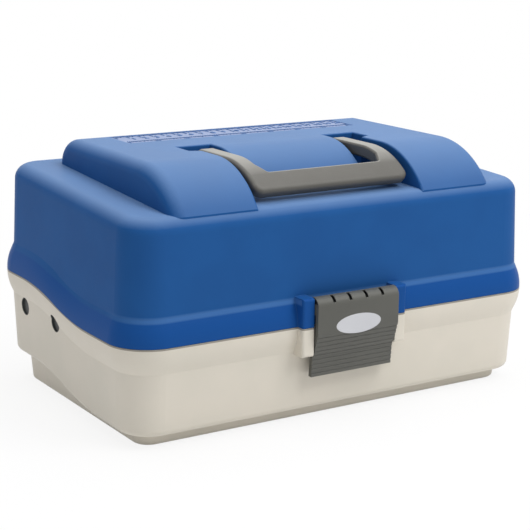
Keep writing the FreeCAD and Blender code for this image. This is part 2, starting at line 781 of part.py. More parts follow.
def stadium(start, end, radius, x_low, x_high):
    """A plate with round ends between two (y, z) points."""
    (y0, z0), (y1, z1) = start, end
    length = math.hypot(y1 - y0, z1 - z0)
    across_y, across_z = -(z1 - z0) / length * radius, (y1 - y0) / length * radius
    points = [(y0 + across_y, z0 + across_z), (y1 + across_y, z1 + across_z),
              (y1 - across_y, z1 - across_z), (y0 - across_y, z0 - across_z)]
    ends = [rod(radius, x_low, x_high, y, z) for y, z in (start, end)]
    return side_plate(points, x_low, x_high).fuse(ends)


def base_inner_half(z):
    """The half width inside the base's side wall, below the flare."""
    draft = (base_inset_at_step - base_inset_at_rim) / step_drop
    return half_width - base_inset_at_rim - draft * (rim_front_height - z) - wall


def make_arm(shift, hole_clearance):
    """The right-hand arm whose base pivot lies a distance in front of the rear pivot."""
    pivot = (rear_pivot_y - shift, pivot_z)
    lower = (lower_stud_y - shift, lower_stud_z)
    upper = (upper_stud_y - shift, upper_stud_z)
    arm = stadium(pivot, lower, arm_half_width, arm_inner_x, arm_outer_x)
    arm = arm.fuse(stadium(lower, upper, arm_half_width, arm_inner_x, arm_outer_x))
    wall_inside = base_inner_half(pivot_z - pivot_collar_radius)
    collar = rod(pivot_collar_radius, arm_inner_x, wall_inside - rim_gap, *pivot)
    stub_end = wall_inside + wall - pivot_end_recess
    stub = rod(pivot_bore_radius - running_clearance, arm_inner_x, stub_end, *pivot)
    arm = arm.fuse([collar, stub])
    for y, z in (lower, upper):
        arm = arm.cut(rod(stud_radius + hole_clearance, arm_inner_x - wall, arm_outer_x + wall, y, z))
    return arm.removeSplitter()


def row_ranges(front, depth, shares):
    """The front and back of each row of compartments between the ribs."""
    inside = depth - 2 * tray_wall - tray_rib * (len(shares) - 1)
    ranges = []
    start = front + tray_wall
    for share in shares:
        ranges.append((start, start + inside * share))
        start += inside * share + tray_rib
    return ranges


def tray_block(front, depth, bottom, height):
    block = box(-tray_half_width, tray_half_width, front, front + depth, bottom, bottom + height)
    corners = [e for e in block.Edges if e.BoundBox.ZLength > height / 2]
    return block.makeFillet(tray_corner_radius, corners)


def make_tray(front, depth, bottom, height, row_shares, divider_shares, stud_places):
    """A tray with rows of compartments, grooves for its dividers and a stud for each arm."""
    tray = tray_block(front, depth, bottom, height)
    inner_half = tray_half_width - tray_wall
    floor = bottom + tray_floor
    cuts = []
    for (row_front, row_back), shares in zip(row_ranges(front, depth, row_shares), divider_shares):
        pocket = box(-inner_half, inner_half, row_front, row_back, floor, bottom + height + overrun)
        upright = [e for e in pocket.Edges if e.BoundBox.ZLength > height]
        cuts.append(pocket.makeFillet(tray_corner_radius - tray_wall, upright))
        half = divider_thickness / 2 + divider_clearance
        for share in shares:
            x = share * inner_half
            cuts.append(box(x - half, x + half, row_front - groove_depth, row_back + groove_depth,
                            floor, bottom + height + overrun))
    tray = tray.cut(cuts)
    stud = [rod(stud_radius, tray_half_width - tray_wall, arm_outer_x, y, z) for y, z in stud_places]
    return tray.fuse(stud + [mirrored(s) for s in stud]).removeSplitter()


def divider_boxes(front, depth, bottom, height, row_shares, divider_shares):
    """The loose dividers, which stand in the tray's grooves."""
    inner_half = tray_half_width - tray_wall
    floor = bottom + tray_floor
    reach = groove_depth - divider_clearance
    found = []
    for (row_front, row_back), shares in zip(row_ranges(front, depth, row_shares), divider_shares):
        for share in shares:
            x = share * inner_half
            found.append(box(x - divider_thickness / 2, x + divider_thickness / 2, row_front - reach,
                             row_back + reach, floor, bottom + height - divider_drop))
    return found


def stud_places(y, z):
    return (y, z), (y - pivot_spacing, z)


def guide_pin(clearance):
    """The right-hand steel pin of the upper tray, which runs in the lid's guide."""
    return rod(guide_pin_radius + clearance, tray_half_width - guide_pin_grip - clearance,
               guide_outer_x - rim_gap, guide_pin_y, guide_pin_z)


def make_upper_tray():
    tray = make_tray(tray_front_y, upper_tray_depth, upper_tray_bottom, upper_tray_height,
                     upper_row_shares, upper_divider_shares, stud_places(upper_stud_y, upper_stud_z))
    boss = rod(2 * guide_pin_radius, tray_half_width - guide_pin_grip - wall, tray_half_width,
               guide_pin_y, guide_pin_z)
    return tray.fuse(both_sides(boss)).cut(both_sides(guide_pin(seated_clearance))).removeSplitter()


def make_lower_tray():
    return make_tray(tray_front_y, lower_tray_depth, lower_tray_bottom, lower_tray_height,
                     lower_row_shares, lower_divider_shares, stud_places(lower_stud_y, lower_stud_z))


def build_nodes():
    nodes = {
        "base_tub": make_base_tub(),
        "lid_shell": make_lid_shell(),
        "latch_rod": make_latch_rod(),
        "latch_flap": make_latch_flap(),
        "latch_badge": make_latch_badge(),
        "carry_handle": make_carry_handle(),
        "lower_tray": make_lower_tray(),
        "upper_tray": make_upper_tray(),
        "guide_screws": make_guide_screws(),
    }
    for side, sign in sides:
        nodes["hinge_rod_" + side] = on_side(make_hinge_rod(), sign)
        nodes["lid_guide_" + side] = on_side(make_guide(), sign)
        nodes["guide_pin_" + side] = on_side(guide_pin(0), sign)
        nodes["rear_arm_" + side] = on_side(make_arm(0, running_clearance), sign)
        nodes["front_arm_" + side] = on_side(make_arm(pivot_spacing, open_pivot_clearance), sign)
    lower = divider_boxes(tray_front_y, lower_tray_depth, lower_tray_bottom, lower_tray_height,
                          lower_row_shares, lower_divider_shares)
    upper = divider_boxes(tray_front_y, upper_tray_depth, upper_tray_bottom, upper_tray_height,
                          upper_row_shares, upper_divider_shares)
    for name, dividers in (("lower_divider_", lower), ("upper_divider_", upper)):
        for number, divider in enumerate(dividers, start=1):
            nodes[name + str(number)] = divider
    return nodes


os.makedirs("parts", exist_ok=True)
for name, shape in build_nodes().items():
    shape.exportStep("parts/" + name + ".step")
    print(name, "solids", len(shape.Solids), "valid", shape.isValid(), "volume", round(shape.Volume))
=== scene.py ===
"""A portable tackle box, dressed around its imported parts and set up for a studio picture."""

import json
import logging
import math
from dataclasses import dataclass
from enum import Enum

import bmesh
import bpy
from mathutils import Matrix, Vector


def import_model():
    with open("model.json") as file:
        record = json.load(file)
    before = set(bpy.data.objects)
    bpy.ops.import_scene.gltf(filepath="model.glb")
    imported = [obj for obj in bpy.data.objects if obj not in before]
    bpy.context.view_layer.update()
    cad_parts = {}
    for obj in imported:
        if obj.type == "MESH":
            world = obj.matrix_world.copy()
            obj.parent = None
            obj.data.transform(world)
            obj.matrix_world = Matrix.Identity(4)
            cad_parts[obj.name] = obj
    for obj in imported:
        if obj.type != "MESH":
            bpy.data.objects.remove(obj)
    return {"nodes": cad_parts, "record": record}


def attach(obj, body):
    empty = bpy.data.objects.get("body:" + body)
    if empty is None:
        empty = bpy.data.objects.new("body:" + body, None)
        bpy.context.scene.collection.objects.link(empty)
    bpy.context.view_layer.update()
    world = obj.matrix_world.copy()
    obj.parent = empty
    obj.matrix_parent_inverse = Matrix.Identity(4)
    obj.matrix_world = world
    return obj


LOG = logging.getLogger("tackle_box")

Rgb = tuple[int, int, int]
Span = tuple[float, float]
Spot = tuple[float, float, float]
Colour = tuple[float, float, float, float]
Ticks = tuple[tuple[int, float], ...]
Socket = bpy.types.NodeSocket

NONE_TO_ALL: Span = (0.0, 1.0)
WHITE: Colour = (1.0, 1.0, 1.0, 1.0)
MILLIMETRES_IN_METRE = 1000
CENTIMETRES_IN_METRE = 100

# How a screen codes light: straight up to the knee, and a power above it.
SCREEN_TOP = 255
SCREEN_KNEE = 0.04045
SCREEN_SLOPE = 12.92
SCREEN_OFFSET = 0.055
SCREEN_POWER = 2.4


class Body(Enum):
    """The moving bodies that the pieces made here ride on."""

    LID = "lid"


class Slot(Enum):
    """The record's material slots."""

    LID = "lid"
    TUB = "tub"
    LATCH = "latch"
    HANDLE = "handle"
    BADGE = "badge"
    ARM = "arm"
    TRAY = "tray"
    DIVIDER = "divider"
    STEEL = "steel"


class Reach(Enum):
    """The parts of a piece that a second tone can cover."""

    SKIRT_SLOPE = "skirt slope"
    SKIRT_BAND = "skirt band"
    # A pale tone on the faces that look up: a painted sheen in place of the overhead lamp's
    # reflection.
    UPWARD_FACES = "upward faces"
    RULER_PANEL = "ruler panel"
    RULER_MARKS = "ruler marks"
    RIM = "rim"
    SLOTS = "slots"
    BORES = "bores"


def linear(colour: Rgb) -> Colour:
    """Turn a screen colour into the linear colour that a shader takes.

    Args:
        colour: red, green and blue from 0 to 255, as a screen shows them.

    Returns:
        The linear colour with an alpha of 1.
    """
    parts = []
    for level in colour:
        share = level / SCREEN_TOP
        if share <= SCREEN_KNEE:
            parts.append(share / SCREEN_SLOPE)
        else:
            parts.append(((share + SCREEN_OFFSET) / (1 + SCREEN_OFFSET)) ** SCREEN_POWER)
    return (parts[0], parts[1], parts[2], 1.0)


class ShaderBench:
    """Lays out the nodes of one material."""

    PEBBLE_SOFTNESS = 0.6
    EASE_SAMPLES = 6
    # The cosine between a surface's own normal and its eased one, on a face and along an edge.
    EDGE_COSINES: Span = (0.995, 0.93)

    def __init__(self, name: str) -> None:
        """Start a material that has only its output and its main shader.

        Args:
            name: the material's name.
        """
        self.material = bpy.data.materials.new(name)
        self.material.use_nodes = True
        self.tree = self.material.node_tree
        self.tree.nodes.clear()
        output = self.tree.nodes.new("ShaderNodeOutputMaterial")
        self.shader = self.tree.nodes.new("ShaderNodeBsdfPrincipled")
        self.join(self.shader.outputs["BSDF"], output.inputs["Surface"])
        place = self.tree.nodes.new("ShaderNodeTexCoord")
        self.place = place.outputs["Object"]
        self.facing = place.outputs["Normal"]

    def join(self, start: Socket, end: Socket) -> None:
        """Link two sockets."""
        self.tree.links.new(start, end)

    def noise(self, size: float, detail: float = 2.0, roughness: float = 0.5) -> Socket:
        """Make a cloudy pattern.

        Args:
            size: the rough width of one patch, in metres.
            detail: how many finer layers are added.
            roughness: how strong the finer layers are.

        Returns:
            The pattern's value, from 0 to 1.
        """
        node = self.tree.nodes.new("ShaderNodeTexNoise")
        node.inputs["Scale"].default_value = 1 / size
        node.inputs["Detail"].default_value = detail
        node.inputs["Roughness"].default_value = roughness
        self.join(self.place, node.inputs["Vector"])
        return node.outputs["Fac"]

    def cells(self, size: float) -> Socket:
        """Make a pebbled pattern.

        Args:
            size: the rough width of one pebble, in metres.

        Returns:
            The distance to the nearest pebble's middle, in pebbles.
        """
        node = self.tree.nodes.new("ShaderNodeTexVoronoi")
        node.feature = "SMOOTH_F1"
        node.inputs["Scale"].default_value = 1 / size
        node.inputs["Smoothness"].default_value = self.PEBBLE_SOFTNESS
        self.join(self.place, node.inputs["Vector"])
        return node.outputs["Distance"]

    def ramp(self, value: Socket, start: Span, end: Span = NONE_TO_ALL,
             smooth: bool = False) -> Socket:
        """Carry a value from one range to another.

        Args:
            value: the value to carry.
            start: the range that it comes from.
            end: the range that it goes to.
            smooth: whether the ends ease in and out.

        Returns:
            The carried value, held inside the end range.
        """
        node = self.tree.nodes.new("ShaderNodeMapRange")
        node.interpolation_type = "SMOOTHSTEP" if smooth else "LINEAR"
        node.inputs["From Min"].default_value = start[0]
        node.inputs["From Max"].default_value = start[1]
        node.inputs["To Min"].default_value = end[0]
        node.inputs["To Max"].default_value = end[1]
        self.join(value, node.inputs["Value"])
        return node.outputs["Result"]

    def combine(self, operation: str, first: Socket, second: Socket | float = 0.0) -> Socket:
        """Put one or two values through the maths node.

        Args:
            operation: the node's operation.
            first: the first value.
            second: the second value, where the operation takes one.

        Returns:
            The operation's result.
        """
        node = self.tree.nodes.new("ShaderNodeMath")
        node.operation = operation
        self.join(first, node.inputs[0])
        if isinstance(second, float):
            node.inputs[1].default_value = second
        else:
            self.join(second, node.inputs[1])
        return node.outputs[0]

    def split(self, vector: Socket) -> tuple[Socket, Socket, Socket]:
        """Take a vector apart.

        Args:
            vector: the vector.

        Returns:
            Its x, y and z.
        """
        node = self.tree.nodes.new("ShaderNodeSeparateXYZ")
        self.join(vector, node.inputs[0])
        return node.outputs[0], node.outputs[1], node.outputs[2]

    def axes(self) -> tuple[Socket, Socket, Socket]:
        """Return the surface's x, y and z in the object's own space."""
        return self.split(self.place)

    def upward(self) -> Socket:
        """Return how much the surface faces the box's top: 1 straight up, 0 on an upright wall."""
        return self.split(self.facing)[2]

    def distance_from(self, line_y: float, line_z: float) -> Socket:
        """Find how far the surface lies from a line that runs from left to right.

        Args:
            line_y: how far back the line lies, in metres.
            line_z: how high the line lies, in metres.

        Returns:
            The distance, in metres.
        """
        _, y, z = self.axes()
        squares = []
        for value, place in ((y, line_y), (z, line_z)):
            away = self.combine("SUBTRACT", value, place)
            squares.append(self.combine("MULTIPLY", away, away))
        return self.combine("SQRT", self.combine("ADD", *squares))

    def blend(self, share: Socket, first: Socket | Colour, second: Socket | Colour) -> Socket:
        """Mix two colours.

        Args:
            share: how much of the second colour shows, from 0 to 1.
            first: a colour or a colour socket.
            second: a colour or a colour socket.

        Returns:
            The mixed colour.
        """
        node = self.tree.nodes.new("ShaderNodeMix")
        node.data_type = "RGBA"
        self.join(share, node.inputs["Factor"])
        # The mix node's sockets 6 and 7 take the colours, and its output 2 gives the mixed one.
        for colour, socket in ((first, node.inputs[6]), (second, node.inputs[7])):
            if isinstance(colour, tuple):
                socket.default_value = colour
            else:
                self.join(colour, socket)
        return node.outputs[2]

    def eased_normal(self, radius: float) -> Socket:
        """Round sharp edges in the shading.

        Args:
            radius: the rounding's radius, in metres.

        Returns:
            The eased normal.
        """
        node = self.tree.nodes.new("ShaderNodeBevel")
        node.samples = self.EASE_SAMPLES
        node.inputs["Radius"].default_value = radius
        return node.outputs["Normal"]

    def edge_share(self, eased: Socket) -> Socket:
        """Find where an eased normal leaves the surface's own, which is along its edges.

        Args:
            eased: the eased normal.

        Returns:
            A value from 0 on the faces to 1 along the edges.
        """
        geometry = self.tree.nodes.new("ShaderNodeNewGeometry")
        dot = self.tree.nodes.new("ShaderNodeVectorMath")
        dot.operation = "DOT_PRODUCT"
        self.join(eased, dot.inputs[0])
        self.join(geometry.outputs["Normal"], dot.inputs[1])
        return self.ramp(dot.outputs["Value"], self.EDGE_COSINES)

    def relief(self, height: Socket, depth: float, normal: Socket | None = None) -> Socket:
        """Turn a height pattern into a bumped normal.

        Args:
            height: the pattern, from 0 to 1.
            depth: the relief's full height, in metres.
            normal: the normal that it starts from, if not the surface's own.

        Returns:
            The bumped normal.
        """
        node = self.tree.nodes.new("ShaderNodeBump")
        node.inputs["Distance"].default_value = depth
        self.join(height, node.inputs["Height"])
        if normal is not None:
            self.join(normal, node.inputs["Normal"])
        return node.outputs["Normal"]


@dataclass(frozen=True)
class RimLine:
    """The box's parting line, seen from the side: low in front, high behind."""

    front_height: float = 0.0745
    back_height: float = 0.0895
    climb: Span = (-0.0497, 0.0610)
    slope_height: Span = (0.0214, 0.0198)
    slope_front: Span = (-0.070, -0.108)
    band_height: Span = (0.0175, 0.0158)
    cheek_front: Span = (-0.1170, -0.1180)
    rim_height: Span = (-0.0013, -0.0010)

    def found(self, bench: ShaderBench, height: Span) -> Socket:
        """Find what lies past a height over the parting line.

        Args:
            bench: the material's bench.
            height: the heights where the found part starts and is full, in metres.

        Returns:
            A value from 0 outside that part to 1 inside it.
        """
        _, y, z = bench.axes()
        line = bench.ramp(y, self.climb, (self.front_height, self.back_height), True)
        return bench.ramp(bench.combine("SUBTRACT", z, line), height, smooth=True)

    def slope_share(self, bench: ShaderBench) -> Socket:
        """Return where the skirt's slope lies, over the front alone: a painted highlight."""
        front = bench.ramp(bench.axes()[1], self.slope_front)
        return bench.combine("MULTIPLY", self.found(bench, self.slope_height), front)

    def band_share(self, bench: ShaderBench) -> Socket:
        """Return where the skirt's lower band and the latch's cheeks lie: a dark painted
        reflection.
        """
        cheeks = bench.ramp(bench.axes()[1], self.cheek_front)
        return bench.combine("MAXIMUM", self.found(bench, self.band_height), cheeks)

    def rim_share(self, bench: ShaderBench) -> Socket:
        """Return where the base's rim lies in the lid's shade."""
        return self.found(bench, self.rim_height)


@dataclass(frozen=True)
class LatchRoll:
    """The latch's rounded top: its axis, its skin and the height where its slots begin."""

    axis_y: float = -0.1172
    axis_z: float = 0.0897
    depth: Span = (0.0063, 0.0055)
    slot_rise: Span = (0.0019, 0.0021)

    def slot_share(self, bench: ShaderBench) -> Socket:
        """Find the inside of the roll's slots, which are painted near black as shade.

        Args:
            bench: the material's bench.

        Returns:
            A value from 0 on the skin to 1 inside the slots.
        """
        up = bench.combine("SUBTRACT", bench.axes()[2], self.axis_z)
        inside = bench.ramp(bench.distance_from(self.axis_y, self.axis_z), self.depth)
        return bench.combine("MULTIPLY", inside, bench.ramp(up, self.slot_rise))


@dataclass(frozen=True)
class PivotBores:
    """The two bores in each of the base's sides, whose walls are painted dark grey as shade."""

    places: tuple[Span, Span] = ((0.0660, 0.0650), (0.0120, 0.0650))
    edge: Span = (0.0069, 0.0066)

    def wall_share(self, bench: ShaderBench) -> Socket:
        """Find the walls of the bores.

        Args:
            bench: the material's bench.

        Returns:
            A value from 0 outside the bores to 1 on their walls.
        """
        distances = [bench.distance_from(*place) for place in self.places]
        return bench.ramp(bench.combine("MINIMUM", *distances), self.edge)


@dataclass(frozen=True)
class RulerPanel:
    """The sunk panel in the lid's top that carries the ruler."""

    half_length: float = 0.1035
    front_y: float = 0.0315
    back_y: float = 0.0655
    floor: float = 0.1894
    side_fade: float = 0.0002
    floor_fade: float = 0.00002
    panel_rise: float = -0.0001
    marks_rise: float = 0.00012

    def found(self, bench: ShaderBench, rise: float) -> Socket:
        """Find what lies in the panel above a height.

        Args:
            bench: the material's bench.
            rise: how far above the panel's floor the found part starts, in metres.

        Returns:
            A value from 0 outside that part to 1 inside it.
        """
        x, y, z = bench.axes()
        ends = (self.half_length + self.side_fade, self.half_length)
        found = bench.ramp(bench.combine("ABSOLUTE", x), ends)
        for value, edge, out in ((y, self.front_y, -self.side_fade),
                                 (y, self.back_y, self.side_fade),
                                 (z, self.floor + rise, -self.floor_fade)):
            inside = bench.ramp(value, (edge + out, edge + out / 2))
            found = bench.combine("MULTIPLY", found, inside)
        return found

    def panel_share(self, bench: ShaderBench) -> Socket:
        """Return where the panel lies, which takes a pale painted highlight."""
        return self.found(bench, self.panel_rise)

    def marks_share(self, bench: ShaderBench) -> Socket:
        """Return where the panel's raised marks lie."""
        return self.found(bench, self.marks_rise)


@dataclass(frozen=True)
class Tone:
    """A second tone of a finish: the part of the piece that it covers, its colour and its gloss."""

    reach: Reach
    colour: Rgb
    gloss: float
    strength: float = 1.0
    lean: float = 0.40
    haze_height: Span = (0.140, 0.150)

    def haze_share(self, bench: ShaderBench) -> Socket:
        """Find the faces near the box's top that look up, which take a painted sheen.

        Args:
            bench: the material's bench.

        Returns:
            A value from 0 on the other faces to 1 on level ones.
        """
        facing = bench.ramp(bench.upward(), (self.lean, 1.0))
        high = bench.ramp(bench.axes()[2], self.haze_height)
        return bench.combine("MULTIPLY", facing, high)

    def share(self, bench: ShaderBench) -> Socket:
        """Find where the tone shows.

        Args:
            bench: the material's bench.

        Returns:
            How much of the tone shows, from 0 to 1.
        """
        finders = {
            Reach.SKIRT_SLOPE: RimLine().slope_share,
            Reach.SKIRT_BAND: RimLine().band_share,
            Reach.UPWARD_FACES: self.haze_share,
            Reach.RULER_PANEL: RulerPanel().panel_share,
            Reach.RULER_MARKS: RulerPanel().marks_share,
            Reach.RIM: RimLine().rim_share,
            Reach.SLOTS: LatchRoll().slot_share,
            Reach.BORES: PivotBores().wall_share,
        }
        return bench.combine("MULTIPLY", finders[self.reach](bench), self.strength)


@dataclass(frozen=True)
class MouldedFinish:
    """Injection-moulded plastic: a tone with soft clouds, a fine grain and edges lightened as a
    painted highlight.
    """

    name: str
    colour: Rgb
    cloud_colour: Rgb
    edge_colour: Rgb
    gloss: Span = (0.42, 0.50)
    specular: float = 0.35
    grain_size: float = 0.0006
    grain_depth: float = 0.00003
    cloud_size: float = 0.045
    cloud_detail: float = 3.0
    cloud_levels: Span = (0.35, 0.65)
    gloss_patches: float = 6.0
    gloss_detail: float = 4.0
    gloss_levels: Span = (0.3, 0.7)
    edge_radius: float = 0.0006
    edge_strength: float = 0.35
    tones: tuple[Tone, ...] = ()

    def material(self) -> bpy.types.Material:
        """Build the material.

        Returns:
            The finished material.
        """
        bench = ShaderBench(self.name)
        clouds = bench.ramp(bench.noise(self.cloud_size, self.cloud_detail),
                            self.cloud_levels, smooth=True)
        colour = bench.blend(clouds, linear(self.colour), linear(self.cloud_colour))
        patches = bench.noise(self.cloud_size / self.gloss_patches, self.gloss_detail)
        gloss = bench.ramp(patches, self.gloss_levels, self.gloss)
        for tone in self.tones:
            share = tone.share(bench)
            colour = bench.blend(share, colour, linear(tone.colour))
            change = bench.combine("SUBTRACT", gloss, tone.gloss)
            gloss = bench.combine("SUBTRACT", gloss, bench.combine("MULTIPLY", change, share))
        eased = bench.eased_normal(self.edge_radius)
        # Painted highlight: the edges, found where the eased normal leaves the surface's own, take
        # a lighter colour.
        painted_edge_highlight = bench.combine("MULTIPLY", bench.edge_share(eased), self.edge_strength)
        colour = bench.blend(painted_edge_highlight, colour, linear(self.edge_colour))
        grain = bench.combine("ADD", bench.cells(self.grain_size), bench.noise(self.grain_size / 2))
        bench.join(colour, bench.shader.inputs["Base Color"])
        bench.join(gloss, bench.shader.inputs["Roughness"])
        bench.join(bench.relief(grain, self.grain_depth, eased), bench.shader.inputs["Normal"])
        bench.shader.inputs["Specular IOR Level"].default_value = self.specular
        return bench.material


@dataclass(frozen=True)
class SteelFinish:
    """Drawn steel rod, with fine scratches along it."""

    name: str
    colour: Rgb = (186, 188, 190)
    dull_colour: Rgb = (150, 152, 155)
    gloss: Span = (0.24, 0.42)
    drawn_scale: Spot = (0.06, 1.0, 1.0)
    patch_size: float = 0.006
    scratch_size: float = 0.0004
    scratch_depth: float = 0.000008
    scratch_detail: float = 4.0
    scratch_roughness: float = 0.6
    scratch_levels: Span = (0.3, 0.7)

    def material(self) -> bpy.types.Material:
        """Build the material.

        Returns:
            The finished material.
        """
        bench = ShaderBench(self.name)
        stretch = bench.tree.nodes.new("ShaderNodeMapping")
        stretch.inputs["Scale"].default_value = self.drawn_scale
        bench.join(bench.place, stretch.inputs["Vector"])
        bench.place = stretch.outputs["Vector"]
        scratches = bench.noise(self.scratch_size, self.scratch_detail, self.scratch_roughness)
        colour = bench.blend(bench.noise(self.patch_size),
                             linear(self.colour), linear(self.dull_colour))
        gloss = bench.ramp(scratches, self.scratch_levels, self.gloss)
        bench.join(colour, bench.shader.inputs["Base Color"])
        bench.join(gloss, bench.shader.inputs["Roughness"])
        bench.join(bench.relief(scratches, self.scratch_depth), bench.shader.inputs["Normal"])
        bench.shader.inputs["Metallic"].default_value = 1.0
        return bench.material


LID_BLUE = MouldedFinish(
    "lid_blue_plastic", (34, 84, 145), (35, 87, 149), (88, 132, 188),
    gloss=(0.45, 0.48), specular=0.05, edge_strength=0.25,
    tones=(
        # Painted highlight: a lighter tone on the skirt's slope, over the front alone, stands in
        # for the light along its crease.
        Tone(Reach.SKIRT_SLOPE, (62, 106, 164), gloss=0.42),
        # Painted reflection: a darker, deeper blue on the skirt's lower band and the latch's cheeks
        # stands in for the dark surroundings the glossy band reflects; its lower roughness is real.
        Tone(Reach.SKIRT_BAND, (26, 78, 146), gloss=0.38),
        # Painted sheen: a pale tone on the lid's upward faces stands in for the overhead lamp's
        # reflection.
        Tone(Reach.UPWARD_FACES, (188, 212, 230), gloss=0.50, strength=0.20),
        # Painted highlight: the pale tone over the ruler panel stands in for the light its level
        # floor catches.
        Tone(Reach.RULER_PANEL, (142, 155, 186), gloss=0.50, strength=0.95),
        Tone(Reach.RULER_MARKS, (92, 126, 180), gloss=0.45, strength=0.9),
    ),
)
TUB_BEIGE = MouldedFinish(
    "tub_beige_plastic", (220, 213, 200), (216, 210, 197), (234, 230, 220),
    gloss=(0.42, 0.48), grain_depth=0.00002, edge_strength=0.25,
    tones=(
        # Painted shade: a grey-brown band along the base's rim, just under the parting line, where
        # the lid's overhang shades it.
        Tone(Reach.RIM, (148, 142, 133), gloss=0.45),
        # Painted shade: the bores' walls are painted dark grey.
        Tone(Reach.BORES, (70, 73, 73), gloss=0.5),
    ),
)
LATCH_GREY = MouldedFinish(
    "latch_grey_plastic", (88, 88, 83), (91, 91, 86), (128, 128, 122),
    gloss=(0.42, 0.48),
    # Painted shade: the inside of the latch's slots is painted near black.
    tones=(Tone(Reach.SLOTS, (12, 12, 13), gloss=0.5),),
)
HANDLE_GREY = MouldedFinish(
    "handle_warm_grey_plastic", (84, 82, 77), (87, 85, 80), (118, 116, 110),
    specular=0.4, grain_size=0.0008, grain_depth=0.00006,
    # Painted sheen: a pale tone on the handle's upward faces stands in for the overhead lamp's
    # reflection.
    tones=(Tone(Reach.UPWARD_FACES, (214, 213, 206), gloss=0.50, strength=0.34, lean=0.86),),
)
ARM_GREY = MouldedFinish(
    "arm_dark_grey_plastic", (84, 85, 84), (90, 91, 90), (120, 121, 120),
)
TRAY_BEIGE = MouldedFinish(
    "tray_beige_plastic", (210, 203, 190), (205, 199, 186), (228, 223, 212),
    grain_depth=0.000015,
)
DIVIDER_GREY = MouldedFinish(
    "divider_pale_grey_plastic", (188, 191, 194), (182, 186, 190), (215, 218, 221),
    gloss=(0.22, 0.32), grain_depth=0.00001,
)
BADGE_WHITE = MouldedFinish(
    "badge_white_plastic", (204, 205, 209), (199, 200, 205), (226, 227, 230),
    gloss=(0.16, 0.22), specular=0.5, grain_depth=0.000006,
)
ROD_STEEL = SteelFinish("rod_drawn_steel")

FINISHES = {
    Slot.LID: LID_BLUE,
    Slot.TUB: TUB_BEIGE,
    Slot.LATCH: LATCH_GREY,
    Slot.HANDLE: HANDLE_GREY,
    Slot.BADGE: BADGE_WHITE,
    Slot.ARM: ARM_GREY,
    Slot.TRAY: TRAY_BEIGE,
    Slot.DIVIDER: DIVIDER_GREY,
    Slot.STEEL: ROD_STEEL,
}


class Workshop:
    """Keeps one material for each slot, and hangs finished meshes on their bodies."""

    def __init__(self) -> None:
        """Build every finish once."""
        self.materials = {slot: finish.material() for slot, finish in FINISHES.items()}

    def dress(self, piece: bpy.types.Object, slot: Slot) -> None:
        """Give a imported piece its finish, in the slots that it already has."""
        for place in piece.material_slots:
            place.material = self.materials[slot]

    def hang(self, name: str, mesh: bmesh.types.BMesh, slot: Slot, body: Body) -> bpy.types.Object:
        """Make a bmesh a piece of the box.

        Args:
            name: the piece's name.
            mesh: its shape, in the box's own place. It is freed here.
            slot: the finish that it takes.
            body: the body that it rides on.

        Returns:
            The new piece.
        """
        bmesh.ops.recalc_face_normals(mesh, faces=mesh.faces)
        data = bpy.data.meshes.new(name)
        mesh.to_mesh(data)
        mesh.free()
        data.materials.append(self.materials[slot])
        piece = bpy.data.objects.new(name, data)
        bpy.context.scene.collection.objects.link(piece)
        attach(piece, body.value)
        return piece


